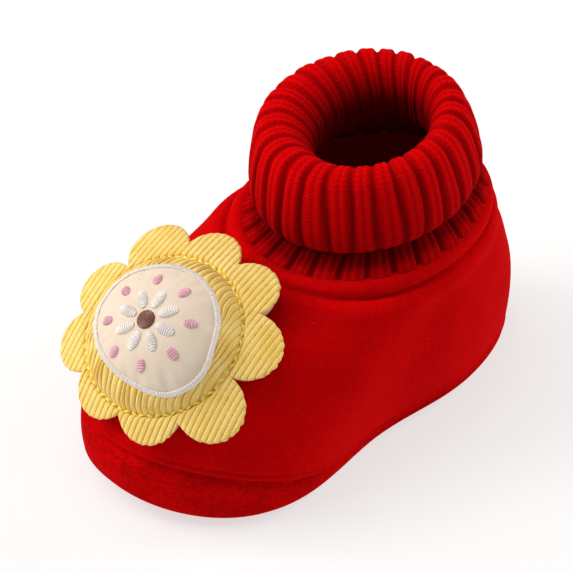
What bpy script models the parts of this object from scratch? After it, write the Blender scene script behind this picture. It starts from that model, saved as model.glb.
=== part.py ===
"""Soft baby bootie: velour sole and upper, turned-down rib cuff, and a stuffed corduroy flower on the toe.

The toe points along -Y, +Z is up and +X is the wearer's left. The origin lies on the floor under the
middle of the whole object. Sizes are in millimetres and angles in degrees; make_solid turns them to metres.
A direction round the shoe is an angle from the toe: 0 is the toe, 90 the wearer's left, 180 the heel.
"""
from collections import namedtuple

import bmesh
import bpy
import numpy as np

MM = 0.001

# Driving dimensions of the foot
LENGTH = 112.0
BALL_WIDTH = 65.0
WAIST_WIDTH = 46.0
HEEL_WIDTH = 52.0
INSTEP_HEIGHT = 44.5
HEEL_HEIGHT = 48.5
COLLAR_HALF_WIDTH = 25.0
COLLAR_HALF_LENGTH = 28.5
COLLAR_MIDDLE = 20.0
FOOT_SETBACK = 1.1

# Thicknesses and clearances
UPPER_WALL = 2.2
SOLE_THICKNESS = 3.0
INSOLE_THICKNESS = 1.6
KNIT_THICKNESS = 3.2
FELT_THICKNESS = 1.2
GAP = 0.3

# Underside of the sole: flat at the heel and the forefoot, lifted at the waist and the toe
TOE_SPRING = 5.0
TOE_SPRING_START = -34.0
ARCH_RISE = 1.2
ARCH_MIDDLE = 8.0
ARCH_HALF_LENGTH = 18.0
EDGE_RISE = 2.5
EDGE_INSET = 3.5
FLOOR_INSET = 4.2
INSOLE_INSET = 5.6
INSOLE_LIFT = 0.5

# Plan of the foot: width at each share of the length from the toe
PlanRow = namedtuple("PlanRow", "share width")
PLAN = (
    PlanRow(0.00, 0.98 * BALL_WIDTH),
    PlanRow(0.22, BALL_WIDTH),
    PlanRow(0.53, WAIST_WIDTH),
    PlanRow(0.80, HEEL_WIDTH),
    PlanRow(1.00, 0.98 * HEEL_WIDTH),
)
TOE_POWER = 0.88
HEEL_POWER = 0.70

# Sections of the body at directions round the shoe. Each is one cubic curve from the sole's edge to the
# collar: its lower handle goes out and up from the edge, its upper handle out and down from the collar.
SideRow = namedtuple("SideRow", "direction seam_height low_out low_up high_out high_down")
SIDES = (
    SideRow(0, 17.5, 4.0, 22.0, 26.0, 4.0),
    SideRow(25, 16.2, 4.0, 22.0, 23.0, 6.0),
    SideRow(50, 11.2, 3.5, 21.0, 14.0, 9.0),
    SideRow(80, 4.8, 4.0, 21.0, 6.0, 11.0),
    SideRow(110, 4.3, 6.5, 24.0, 3.0, 12.0),
    SideRow(145, 4.2, 4.6, 24.0, 3.0, 12.0),
    SideRow(180, 4.2, 4.5, 24.0, 3.0, 12.0),
)

# Rib cuff: middle of the knit where it leaves the hole, turns over the crest and hangs to the hem,
# as steps out from the collar loop and up from it
FoldRow = namedtuple("FoldRow", "out up")
FOLD = (
    FoldRow(-12.8, 12.0),
    FoldRow(-13.2, 16.5),
    FoldRow(-12.6, 20.4),
    FoldRow(-10.9, 23.0),
    FoldRow(-8.4, 24.0),
    FoldRow(-6.1, 23.0),
    FoldRow(-4.7, 20.4),
    FoldRow(-4.0, 16.5),
    FoldRow(-3.4, 11.5),
    FoldRow(-2.7, 5.6),
)
ROOT_HANDLE = 3.0
HOLE_HANDLE = 8.0
ROOT_STEPS = 4
CUFF_LEAN = 0.09
CUFF_FRONT_RISE = 0.06

# Flower: where its middle sits on the vamp's centre line, how its face leans, and its petals
FLOWER_SHARE = 0.6
FLOWER_LEAN = 34.5
FLOWER_TURN = 6.0
FLOWER_BOW_RADIUS = 55.0
PETALS = 9
FIRST_PETAL = -3.0
PETAL_CENTRE_RADIUS = 19.5
PETAL_RADIUS = 7.1
STITCH_RING_RADIUS = 18.5

# Stuffed top of the flower inside and outside its stitch ring. Inside, the place is a radius; outside,
# it is a share of the way from the ring to the petal's edge. Heights count from under the felt.
DomeRow = namedtuple("DomeRow", "radius height")
DOME = (
    DomeRow(6.0, 9.4),
    DomeRow(12.0, 8.7),
    DomeRow(15.3, 7.5),
    DomeRow(17.5, 5.4),
    DomeRow(STITCH_RING_RADIUS, 4.0),
)
DOME_TOP = 9.6
PetalRow = namedtuple("PetalRow", "share height")
PETAL_TOP = (
    PetalRow(0.2, 4.9),
    PetalRow(0.6, 5.1),
    PetalRow(0.9, 4.3),
    PetalRow(1.0, 3.1),
)

# Fineness of the facets
DIRECTIONS = 56
STEPS_PER_PETAL = 8
BOTTOM_SHARES = (0.2, 0.4, 0.6, 0.8, 1.0)
EDGE_ANGLES = (30, 60)
WALL_STEPS = 10
BAND_STEPS = 3
SEARCH_STEPS = 201
SHARP_ANGLE = 50


def column(rows, name):
    """One named column of a table as an array."""
    return np.array([getattr(row, name) for row in rows], float)


def smooth(at, places, values, flat_ends=False):
    """Smooth curve through a table: cubic stretches, with slopes taken from the rows on either side."""
    slopes = np.gradient(values, places)
    if flat_ends:
        slopes[[0, -1]] = 0.0
    i = np.clip(np.searchsorted(places, at, side="right") - 1, 0, len(places) - 2)
    step = places[i + 1] - places[i]
    t = (at - places[i]) / step
    start = values[i] * (1 + 2 * t) * (1 - t) ** 2 + slopes[i] * step * t * (1 - t) ** 2
    end = values[i + 1] * t ** 2 * (3 - 2 * t) - slopes[i + 1] * step * t ** 2 * (1 - t)
    return start + end


def around(phi, name):
    """A column of the side table at directions phi, the same on the left and the right."""
    turn = np.abs((np.degrees(phi) + 180) % 360 - 180)
    return smooth(turn, column(SIDES, "direction"), column(SIDES, name), flat_ends=True)


def points(x, y, z):
    """Stack coordinates of any matching shapes into points."""
    return np.stack(np.broadcast_arrays(x, y, z), -1)


def outward(phi):
    """Level direction from the shoe's middle towards phi."""
    return points(np.sin(phi), -np.cos(phi), 0.0)


def plan(phi, inset=0.0):
    """Plan outline of the foot at directions phi, drawn in by inset."""
    share = 0.5 - 0.5 * np.cos(phi)
    width = smooth(share, column(PLAN, "share"), column(PLAN, "width"))
    power = TOE_POWER + (HEEL_POWER - TOE_POWER) * share
    across = np.sign(np.sin(phi)) * np.abs(np.sin(phi)) ** power
    return across * (width / 2 - inset), -np.cos(phi) * (LENGTH / 2 - inset)


def ground(y):
    """Height of the sole's underside along the foot, with its toe spring and its arch."""
    toe = np.clip((TOE_SPRING_START - y) / (LENGTH / 2 + TOE_SPRING_START), 0, None)
    waist = np.clip(1 - ((y - ARCH_MIDDLE) / ARCH_HALF_LENGTH) ** 2, 0, None)
    return TOE_SPRING * toe ** 2 + ARCH_RISE * waist ** 2


def collar(phi):
    """Collar loop: an ellipse that rises from the instep to the heel."""
    forward = np.cos(phi)
    rise = (HEEL_HEIGHT + INSTEP_HEIGHT) / 2 - forward * (HEEL_HEIGHT - INSTEP_HEIGHT) / 2
    return points(np.sin(phi) * COLLAR_HALF_WIDTH, COLLAR_MIDDLE - forward * COLLAR_HALF_LENGTH, rise)


def body(phi, v):
    """Outer surface of sole and upper: a cubic from the sole's edge (v = 0) to the collar (v = 1)."""
    x, y = plan(phi)
    up = np.array((0.0, 0.0, 1.0))
    edge = points(x, y, ground(y) + EDGE_RISE)
    top = collar(phi)
    out = outward(phi)
    low = edge + out * around(phi, "low_out")[..., None] + up * around(phi, "low_up")[..., None]
    high = top + out * around(phi, "high_out")[..., None] - up * around(phi, "high_down")[..., None]
    v = np.asarray(v, float)[..., None]
    return (1 - v) ** 3 * edge + 3 * (1 - v) ** 2 * v * low + 3 * (1 - v) * v ** 2 * high + v ** 3 * top


def unit(vectors):
    """Vectors scaled to length one."""
    return vectors / np.linalg.norm(vectors, axis=-1, keepdims=True)


def body_rising(phi, v, step=1e-4):
    """Change of the body's surface for one unit of v."""
    return (body(phi, v + step) - body(phi, v - step)) / (2 * step)


def body_normal(phi, v, step=1e-4):
    """Outward normal of the body's surface."""
    onward = body(phi + step, v) - body(phi - step, v)
    return unit(np.cross(onward, body_rising(phi, v)))


def body_inside(phi, v):
    """Inner surface of the wall, one wall thickness in from the body."""
    return body(phi, v) - UPPER_WALL * body_normal(phi, v)


def seam_share(phi):
    """The v at which the body reaches the seam between sole and upper."""
    shares = np.linspace(0, 1, SEARCH_STEPS)
    heights = body(phi[None, :], shares[:, None])[..., 2]
    wanted = around(phi, "seam_height")
    return np.array([np.interp(height, heights[:, i], shares) for i, height in enumerate(wanted)])


def fabric(name, red, green, blue, roughness):
    """Plain cloth material of one colour, in linear light."""
    material = bpy.data.materials.new(name)
    material.use_nodes = True
    shader = material.node_tree.nodes["Principled BSDF"]
    shader.inputs["Base Color"].default_value = (red, green, blue, 1.0)
    shader.inputs["Roughness"].default_value = roughness
    shader.inputs["Metallic"].default_value = 0.0
    return material


def make_solid(name, rows, material, poles=False):
    """Closed body from rows of points that each run once round, joined last to first or ending in poles."""
    rows = np.array(rows)
    count, width = rows.shape[:2]
    ids = np.arange(count * width).reshape(count, width)
    if poles:
        ids[0] = ids[0, 0]
        ids[-1] = ids[-1, 0]
    onward = np.roll(ids, -1, axis=1)
    below = np.arange(count - 1 if poles else count)
    above = (below + 1) % count
    quads = np.stack([ids[below], onward[below], onward[above], ids[above]], -1)
    used, numbered = np.unique(quads, return_inverse=True)
    faces = [tuple(dict.fromkeys(quad)) for quad in numbered.reshape(-1, 4).tolist()]
    vertices = rows.reshape(-1, 3)[used] + (0.0, FOOT_SETBACK, 0.0)
    mesh = bpy.data.meshes.new(name)
    mesh.from_pydata((vertices * MM).tolist(), [], faces)
    shape = bmesh.new()
    shape.from_mesh(mesh)
    if shape.calc_volume(signed=True) < 0:
        mesh.flip_normals()
    shape.free()
    mesh.shade_smooth()
    mesh.set_sharp_from_angle(angle=np.radians(SHARP_ANGLE))
    mesh.materials.append(material)
    solid = bpy.data.objects.new(name, mesh)
    bpy.context.scene.collection.objects.link(solid)
    return solid


def pole(point):
    """A row whose points all lie at one place."""
    return np.repeat(np.array([point], float), DIRECTIONS, axis=0)


def sole_floor(phi, share, inset, height):
    """Row on the sole at a share of its inset outline, at a height over its underside."""
    x, y = plan(phi, inset)
    return points(share * x, share * y, ground(share * y) + height)


def make_sole(phi, material):
    """Padded sole: flat bottom, rounded edge and a band up to the seam, with the same wall inside."""
    seam = seam_share(phi)
    rows = [pole((0.0, 0.0, ground(0.0)))]
    rows += [sole_floor(phi, share, EDGE_INSET, 0.0) for share in BOTTOM_SHARES]
    for angle in np.radians(EDGE_ANGLES):
        x, y = plan(phi, EDGE_INSET * (1 - np.sin(angle)))
        rows.append(points(x, y, ground(y) + EDGE_RISE * (1 - np.cos(angle))))
    shares = np.linspace(0, 1, BAND_STEPS + 1)
    rows += [body(phi, seam * share) for share in shares]
    rows += [body_inside(phi, seam * share) for share in shares[:0:-1]]
    rows += [sole_floor(phi, share, FLOOR_INSET, SOLE_THICKNESS) for share in BOTTOM_SHARES[::-1]]
    rows.append(pole((0.0, 0.0, ground(0.0) + SOLE_THICKNESS)))
    return make_solid("sole", rows, material, poles=True)


def make_insole(phi, material):
    """Thin sock lying just over the sole's inner floor."""
    bottom = SOLE_THICKNESS + INSOLE_LIFT
    top = bottom + INSOLE_THICKNESS
    rows = [pole((0.0, 0.0, ground(0.0) + bottom))]
    rows += [sole_floor(phi, share, INSOLE_INSET, bottom) for share in BOTTOM_SHARES]
    rows += [sole_floor(phi, share, INSOLE_INSET, top) for share in BOTTOM_SHARES[::-1]]
    rows.append(pole((0.0, 0.0, ground(0.0) + top)))
    return make_solid("insole", rows, material, poles=True)


def make_upper(phi, material):
    """Hollow upper: outer wall from the seam to the collar and inner wall back down, open at both ends."""
    seam = seam_share(phi)
    start = seam + GAP / np.linalg.norm(body_rising(phi, seam), axis=-1)
    shares = np.linspace(0, 1, WALL_STEPS + 1)
    rows = [body(phi, start + (1 - start) * share) for share in shares]
    rows += [body_inside(phi, start + (1 - start) * share) for share in shares[::-1]]
    return make_solid("upper", rows, material)


def cuff_lean(up):
    """Step towards the toe of a fold at a height over the collar: none at the hem, most at the crest."""
    return np.array((0.0, -CUFF_LEAN * (up - FOLD[-1].up), 0.0))


def make_cuff(phi, material):
    """Rib cuff: knit that leaves the collar's edge, draws in to the hole and turns down to its hem."""
    top = np.ones_like(phi)
    out = outward(phi)
    up = np.array((0.0, 0.0, 1.0))
    leaving = unit(body_rising(phi, top))
    root = body(phi, top) - UPPER_WALL / 2 * body_normal(phi, top) + GAP * leaving
    rise = up * (1 + CUFF_FRONT_RISE * np.cos(phi))[:, None]
    folded = [collar(phi) + row.out * out + row.up * rise + cuff_lean(row.up) for row in FOLD]
    hole = folded[0]
    handles = (root, root + ROOT_HANDLE * leaving, hole - HOLE_HANDLE * up, hole)
    middle = []
    for t in np.arange(ROOT_STEPS) / ROOT_STEPS:
        weights = ((1 - t) ** 3, 3 * (1 - t) ** 2 * t, 3 * (1 - t) * t ** 2, t ** 3)
        middle.append(sum(weight * handle for weight, handle in zip(weights, handles)))
    middle = np.array(middle + folded)
    running = np.gradient(middle, axis=0)
    running[0] = leaving
    onward = np.roll(middle, -1, axis=1) - np.roll(middle, 1, axis=1)
    thickness = np.full(len(middle), KNIT_THICKNESS)
    thickness[:ROOT_STEPS] = np.linspace(UPPER_WALL, KNIT_THICKNESS, ROOT_STEPS + 1)[:-1]
    side = unit(np.cross(onward, running)) * thickness[:, None, None] / 2
    rows = list(middle + side) + list((middle - side)[::-1])
    return make_solid("rib_cuff", rows, material)


def flower_frame():
    """Axes of the flower: across to the wearer's left, along towards the collar, and its face's normal."""
    lean, turn = np.radians((FLOWER_LEAN, FLOWER_TURN))
    normal = np.array((np.sin(turn), -np.cos(turn) * np.sin(lean), np.cos(turn) * np.cos(lean)))
    across = unit(np.cross((0.0, 0.0, 1.0), normal))
    return across, np.cross(normal, across), normal


def flower_seat(normal):
    """Middle of the felt's underside, slid along the normal until the bowed flower just clears the vamp."""
    anchor = body(np.array(0.0), np.array(FLOWER_SHARE))
    phi = np.linspace(-np.pi, np.pi, SEARCH_STEPS)
    vamp = body(phi[None, :], np.linspace(0, 1, SEARCH_STEPS)[:, None]) - anchor
    height = vamp @ normal
    radius_squared = (vamp ** 2).sum(-1) - height ** 2
    under = radius_squared < (PETAL_CENTRE_RADIUS + PETAL_RADIUS) ** 2
    lift = (height + radius_squared / (2 * FLOWER_BOW_RADIUS))[under].max() + GAP
    return anchor + lift * normal


def petal_edge(theta):
    """Radius of the flower's edge: nine round petals that meet in notches."""
    spacing = 2 * np.pi / PETALS
    offset = (theta - np.radians(FIRST_PETAL) + spacing / 2) % spacing - spacing / 2
    chord = np.clip(PETAL_RADIUS ** 2 - (PETAL_CENTRE_RADIUS * np.sin(offset)) ** 2, 0, None)
    return PETAL_CENTRE_RADIUS * np.cos(offset) + np.sqrt(chord)


def make_flower(felt_material, corduroy_material):
    """Felt backing and stuffed corduroy pad, both bowed over the toe and cut to the same petals."""
    across, along, normal = flower_frame()
    seat = flower_seat(normal)
    steps = PETALS * STEPS_PER_PETAL
    theta = np.radians(FIRST_PETAL) + np.arange(steps) * 2 * np.pi / steps
    spokes = np.cos(theta)[:, None] * along + np.sin(theta)[:, None] * across
    edge = petal_edge(theta)

    def row(radius, height):
        radius = np.broadcast_to(radius, theta.shape)[:, None]
        return seat + radius * spokes + (height - radius ** 2 / (2 * FLOWER_BOW_RADIUS)) * normal

    def petal(share):
        return STITCH_RING_RADIUS + share * (edge - STITCH_RING_RADIUS)

    sheet = (0.0, STITCH_RING_RADIUS / 2, STITCH_RING_RADIUS, petal(0.5), petal(1.0))
    felt = [row(radius, 0.0) for radius in sheet]
    felt += [row(radius, FELT_THICKNESS) for radius in sheet[::-1]]
    make_solid("flower_backing", felt, felt_material, poles=True)

    pad = [row(radius, FELT_THICKNESS + GAP) for radius in sheet]
    pad += [row(petal(place.share), place.height) for place in PETAL_TOP[::-1]]
    pad += [row(place.radius, place.height) for place in DOME[::-1]]
    pad.append(row(0.0, DOME_TOP))
    make_solid("flower_pad", pad, corduroy_material, poles=True)


for old in list(bpy.data.objects):
    bpy.data.objects.remove(old, do_unlink=True)

directions = np.arange(DIRECTIONS) * 2 * np.pi / DIRECTIONS
velour = fabric("red velour", 0.35, 0.004, 0.004, 0.85)
sole_velour = fabric("red sole velour", 0.32, 0.004, 0.004, 0.88)
lining = fabric("red lining", 0.12, 0.004, 0.004, 0.9)
rib_knit = fabric("red rib knit", 0.25, 0.004, 0.004, 0.9)
felt_cloth = fabric("cream felt", 0.78, 0.60, 0.45, 0.95)
corduroy = fabric("yellow corduroy", 0.80, 0.55, 0.15, 0.9)

make_sole(directions, sole_velour)
make_insole(directions, lining)
make_upper(directions, velour)
make_cuff(directions, rib_knit)
make_flower(felt_cloth, corduroy)
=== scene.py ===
"""Looks of a soft baby bootie: velour sole and upper, turned-down rib cuff and a stuffed corduroy flower.

Sizes are in millimetres and angles in degrees, and surface() turns them to metres. The toe points along -Y,
+X is the wearer's left and +Z is up. A direction round the shoe is an angle from the toe: 0 is the toe,
90 the wearer's left and 180 the heel.
"""
from collections import namedtuple

import bpy
import numpy as np
from mathutils import Matrix


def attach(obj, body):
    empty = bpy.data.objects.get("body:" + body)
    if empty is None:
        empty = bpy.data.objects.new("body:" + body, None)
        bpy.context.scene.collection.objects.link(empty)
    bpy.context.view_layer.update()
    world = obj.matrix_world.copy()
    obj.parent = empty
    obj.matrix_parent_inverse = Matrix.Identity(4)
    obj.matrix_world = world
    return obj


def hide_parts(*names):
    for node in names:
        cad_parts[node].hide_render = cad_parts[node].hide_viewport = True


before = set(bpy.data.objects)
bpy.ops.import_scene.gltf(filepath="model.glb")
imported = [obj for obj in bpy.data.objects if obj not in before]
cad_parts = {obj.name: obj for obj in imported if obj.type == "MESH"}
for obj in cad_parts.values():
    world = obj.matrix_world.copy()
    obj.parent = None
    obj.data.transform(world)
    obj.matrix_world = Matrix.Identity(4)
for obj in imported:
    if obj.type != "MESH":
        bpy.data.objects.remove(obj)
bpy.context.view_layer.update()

# Sole
# A soft padded sole of cotton velour, cut in one piece and turned up round the toe as a band.
# It is sewn to the upper along a seam that runs high round the toe and low along the sides and the heel.
MM = 0.001
LENGTH = 112.0
BALL_WIDTH = 65.0
WAIST_WIDTH = 48.6
HEEL_WIDTH = 52.0
END_SHARE = 0.98
INSTEP_HEIGHT = 44.5
HEEL_HEIGHT = 48.5
COLLAR_HALF_WIDTH = 25.0
COLLAR_HALF_LENGTH = 28.5
COLLAR_MIDDLE = 20.0
FOOT_SETBACK = 1.1
UPPER_WALL = 2.2
SOLE_THICKNESS = 3.0
TOE_SPRING = 5.0
TOE_SPRING_START = -34.0
ARCH_RISE = 0.3
ARCH_MIDDLE = 8.0
ARCH_HALF_LENGTH = 18.0
EDGE_RISE = 2.5
EDGE_INSET = 3.5
FLOOR_INSET = 4.2
TOE_POWER = 0.88
HEEL_POWER = 0.70
DIRECTIONS = 540
SEARCH_STEPS = 201
SLOPE_STEP = 1e-4


def table(names, *rows):
    """A small table of numbers: table.name is one of its columns, and each row has the same names."""
    return np.rec.fromrecords([tuple(map(float, row)) for row in rows], names=names.split())


def turns(count):
    """Angles that go once round in even steps."""
    return np.arange(count) * 2 * np.pi / count


# Plan of the foot: width at each share of the length from the toe
PLAN = table(
    "share width",
    (0.00, END_SHARE * BALL_WIDTH),
    (0.22, BALL_WIDTH),
    (0.53, WAIST_WIDTH),
    (0.80, HEEL_WIDTH),
    (1.00, END_SHARE * HEEL_WIDTH),
)

# Sections of the body at directions round the shoe: handles of one cubic from the sole's edge to the collar
SIDES = table(
    "direction seam_height low_out low_up high_out high_down",
    (0, 17.5, 4.0, 22.0, 26.0, 4.0),
    (25, 16.2, 4.0, 22.0, 23.0, 6.0),
    (50, 11.2, 3.5, 21.0, 14.0, 9.0),
    (80, 4.0, 4.0, 21.0, 6.0, 11.0),
    (110, 3.1, 6.5, 24.0, 3.0, 12.0),
    (145, 3.0, 4.6, 24.0, 3.0, 12.0),
    (180, 3.0, 4.5, 24.0, 3.0, 12.0),
)
UP = np.array((0.0, 0.0, 1.0))
PHI = turns(DIRECTIONS)


def smooth(at, places, values, flat_ends=False):
    """Smooth curve through a table: cubic stretches, with slopes taken from the rows on either side."""
    slopes = np.gradient(values, places)
    if flat_ends:
        slopes[[0, -1]] = 0.0
    i = np.clip(np.searchsorted(places, at, side="right") - 1, 0, len(places) - 2)
    step = places[i + 1] - places[i]
    t = (at - places[i]) / step
    start = values[i] * (1 + 2 * t) * (1 - t) ** 2 + slopes[i] * step * t * (1 - t) ** 2
    end = values[i + 1] * t ** 2 * (3 - 2 * t) - slopes[i + 1] * step * t ** 2 * (1 - t)
    return start + end


def bell(offset, width):
    """Soft bump of height one: it falls off with the square of the offset, to a third at one width."""
    return np.exp(-(offset / width) ** 2)


def points(x, y, z):
    """Stack coordinates of any matching shapes into points."""
    return np.stack(np.broadcast_arrays(x, y, z), -1)


def unit(vectors):
    """Vectors scaled to length one."""
    return vectors / np.linalg.norm(vectors, axis=-1, keepdims=True)


def read_columns(wanted, places, values):
    """Values read at wanted places, column by column, on straight lines between the rows of places."""
    count = places.shape[1]
    wanted = wanted + np.zeros(count)
    values = values + np.zeros_like(places)
    return np.stack([np.interp(wanted[..., i], places[:, i], values[:, i]) for i in range(count)], -1)


def turn_from(direction, phi):
    """Degrees that directions phi lie past a given one, from -180 to 180."""
    return (np.degrees(phi) - direction + 180) % 360 - 180


def cubic(t, start, low, high, end):
    """Cubic curve by its two ends and its two handles, at t from 0 to 1."""
    return (1 - t) ** 3 * start + 3 * (1 - t) ** 2 * t * low + 3 * (1 - t) * t ** 2 * high + t ** 3 * end


def around(phi, name):
    """A column of the side table at directions phi, the same on the left and the right."""
    return smooth(np.abs(turn_from(0, phi)), SIDES.direction, SIDES[name], flat_ends=True)


def outward(phi):
    """Level direction from the shoe's middle towards phi."""
    return points(np.sin(phi), -np.cos(phi), 0.0)


def plan(phi, inset=0.0):
    """Plan outline of the foot at directions phi, an ellipse of changing width, drawn in by inset."""
    share = 0.5 - 0.5 * np.cos(phi)
    width = smooth(share, PLAN.share, PLAN.width)
    power = TOE_POWER + (HEEL_POWER - TOE_POWER) * share
    across = np.sign(np.sin(phi)) * np.abs(np.sin(phi)) ** power
    return across * (width / 2 - inset), -np.cos(phi) * (LENGTH / 2 - inset)


def ground(y):
    """Height of the sole's underside along the foot: squared rise at the toe, low arch at the waist."""
    toe = np.clip((TOE_SPRING_START - y) / (LENGTH / 2 + TOE_SPRING_START), 0, None)
    waist = np.clip(1 - ((y - ARCH_MIDDLE) / ARCH_HALF_LENGTH) ** 2, 0, None)
    return TOE_SPRING * toe ** 2 + ARCH_RISE * waist ** 2


def collar(phi):
    """Collar loop: an ellipse that rises from the instep to the heel."""
    forward = np.cos(phi)
    rise = (HEEL_HEIGHT + INSTEP_HEIGHT) / 2 - forward * (HEEL_HEIGHT - INSTEP_HEIGHT) / 2
    return points(np.sin(phi) * COLLAR_HALF_WIDTH, COLLAR_MIDDLE - forward * COLLAR_HALF_LENGTH, rise)


def body(phi, v):
    """Outer surface of sole and upper: a cubic from the sole's edge (v = 0) to the collar (v = 1)."""
    x, y = plan(phi)
    edge = points(x, y, ground(y) + EDGE_RISE)
    top = collar(phi)
    out = outward(phi)
    low = edge + out * around(phi, "low_out")[..., None] + UP * around(phi, "low_up")[..., None]
    high = top + out * around(phi, "high_out")[..., None] - UP * around(phi, "high_down")[..., None]
    return cubic(np.asarray(v, float)[..., None], edge, low, high, top)


def body_rising(phi, v):
    """Change of the body's surface for one unit of v."""
    return (body(phi, v + SLOPE_STEP) - body(phi, v - SLOPE_STEP)) / (2 * SLOPE_STEP)


def body_normal(phi, v):
    """Outward normal of the body's surface: round the shoe crossed with up the side."""
    onward = body(phi + SLOPE_STEP, v) - body(phi - SLOPE_STEP, v)
    return unit(np.cross(onward, body_rising(phi, v)))


def seam_share(phi):
    """The v at which the body reaches the seam between sole and upper."""
    shares = np.linspace(0, 1, SEARCH_STEPS)
    heights = body(phi[None, :], shares[:, None])[..., 2]
    return read_columns(around(phi, "seam_height"), heights, shares[:, None])


def surface(name, grids, material=None, closed=False, caps=False, cloth=None, tones=None):
    """One mesh object from a grid of points in millimetres, or from a stack of like grids.

    Columns run once round and join. closed joins the last row to the first, and caps closes each end row
    with a fan to its middle. cloth is (across, along): a UV value for each column's start and end, and one
    for each point. tones are named values, one for each point. Faces are turned round if the volume comes
    out negative.
    """
    grids = grids.reshape(-1, *grids.shape[-3:])
    count, rows, columns = grids.shape[:3]
    ids = np.arange(count * rows * columns).reshape(count, rows, columns)
    onward = np.roll(ids, -1, axis=2)
    low = np.arange(rows if closed else rows - 1)
    high = (low + 1) % rows
    quads = np.stack([ids[:, low], onward[:, low], onward[:, high], ids[:, high]], -1).reshape(-1, 4)
    vertices = grids.reshape(-1, 3)
    a, b, c, d = (vertices[quads[:, corner]] for corner in range(4))
    turn = 1 if (np.cross(c - a, d - b) * (a + b + c + d)).sum() > 0 else -1
    faces = quads[:, ::turn].tolist()
    if caps:
        poles = np.arange(2 * count).reshape(count, 2, 1) + ids.size + np.zeros(columns, int)
        fans = [[onward[:, 0], ids[:, 0], poles[:, 0]], [ids[:, -1], onward[:, -1], poles[:, 1]]]
        for fan in fans:
            faces += np.stack(fan, -1).reshape(-1, 3)[:, ::turn].tolist()
        vertices = np.concatenate([vertices, grids[:, [0, -1]].mean(axis=2).reshape(-1, 3)])
    mesh = bpy.data.meshes.new(name)
    mesh.from_pydata(((vertices + (0.0, FOOT_SETBACK, 0.0)) * MM).tolist(), [], faces)
    if cloth is not None:
        across, along = cloth
        starts, ends = (np.broadcast_to(part, (len(low), columns)) for part in (across[:-1], across[1:]))
        next_along = np.roll(along, -1, axis=1)
        u = np.stack([starts, ends, ends, starts], -1)
        v = np.stack([along[low], next_along[low], next_along[high], along[high]], -1)
        corners = np.stack([u, v], -1).reshape(-1, 4, 2)[:, ::turn]
        mesh.uv_layers.new(name="cloth").uv.foreach_set("vector", corners.astype(np.float32).ravel())
    for tone, values in (tones or {}).items():
        padded = np.zeros(len(vertices), np.float32)
        padded[:ids.size] = values.ravel()
        mesh.attributes.new(tone, "FLOAT", "POINT").data.foreach_set("value", padded)
    mesh.shade_smooth()
    if material:
        mesh.materials.append(material)
    piece = bpy.data.objects.new(name, mesh)
    bpy.context.scene.collection.objects.link(piece)
    return piece


def linear(colour):
    """Linear colour of an sRGB hex value, by the sRGB curve."""
    channels = np.array([int(colour[i:i + 2], 16) for i in (1, 3, 5)]) / 255
    light = np.where(channels <= 0.04045, channels / 12.92, ((channels + 0.055) / 1.055) ** 2.4)
    return (*light.tolist(), 1.0)


def plug(material, added, sockets):
    """Give each named socket of a node its value, or a link from another node's output."""
    for name, value in sockets.items():
        if isinstance(value, bpy.types.NodeSocket):
            material.node_tree.links.new(value, added.inputs[name])
        else:
            added.inputs[name].default_value = value


def node(material, kind, sockets=None, output=0, **settings):
    """Add a shader node with settings of its own, plug its sockets, and give one of its outputs."""
    added = material.node_tree.nodes.new("ShaderNode" + kind)
    for name, value in settings.items():
        setattr(added, name, value)
    plug(material, added, sockets or {})
    return added.outputs[output]


def new_material(name, constants):
    """A material and its shader, with the shader's constants in place."""
    material = bpy.data.materials.new(name)
    material.use_nodes = True
    shader = material.node_tree.nodes["Principled BSDF"]
    plug(material, shader, constants)
    return material, shader


def new_cloth(name, roughness, shine, sheen, sheen_roughness, sheen_colour):
    """Start a cloth: a matt ground with some mirror shine, whose fibres catch light at the rim as sheen."""
    return new_material(name, {
        "Roughness": roughness,
        "IOR": 1.5,
        "Specular IOR Level": shine,
        "Sheen Weight": sheen,
        "Sheen Roughness": sheen_roughness,
        "Sheen Tint": linear(sheen_colour),
    })


def velour(name, lit, deep, brushed_mm, tuft_mm, pile_mm, flatten):
    """Cotton velour: knitted loops sheared to a short dense pile. The eye sees a deep matt colour, paler and
    darker patches where the pile lies brushed, a fine grain of tufts, a soft sheen at the rim and a little
    lint. Real tufts are too fine to show, so they are drawn coarser."""
    material, shader = new_cloth(
        name, roughness=0.92, shine=0.01, sheen=0.25, sheen_roughness=0.4, sheen_colour="#ff1418")
    position = node(material, "TexCoord", output="Object")
    place = node(material, "Mapping", {"Vector": position, "Scale": (1.0, 1.0, flatten)})
    brushed = node(material, "TexNoise", {"Vector": place, "Scale": 1 / (brushed_mm * MM), "Detail": 3.0})
    tufts = node(material, "TexNoise", {"Vector": place, "Scale": 1 / (tuft_mm * MM), "Detail": 4.0})
    pile = node(material, "TexNoise", {"Vector": place, "Scale": 1 / (pile_mm * MM), "Detail": 2.0})
    grain = node(material, "Math", {0: tufts, 1: pile}, operation="ADD")
    lay = node(material, "Math", {0: brushed, 1: grain}, operation="ADD")
    tone = node(material, "MapRange", {"Value": lay, "From Min": 1.15, "From Max": 1.85})
    pile_colour = node(material, "MixRGB", {"Fac": tone, "Color1": linear(deep), "Color2": linear(lit)})
    cells = node(material, "TexVoronoi", {"Vector": place, "Scale": 1 / (LINT_SPACING * MM)}, "Distance")
    speck = node(material, "Math", {0: cells, 1: LINT_SIZE / LINT_SPACING}, operation="LESS_THAN")
    colour = node(material, "MixRGB", {"Fac": speck, "Color1": pile_colour, "Color2": linear("#d8484a")})
    bump = node(material, "Bump", {"Strength": 0.5, "Distance": 0.16 * MM, "Height": grain})
    plug(material, shader, {"Base Color": colour, "Normal": bump})
    return material


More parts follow.
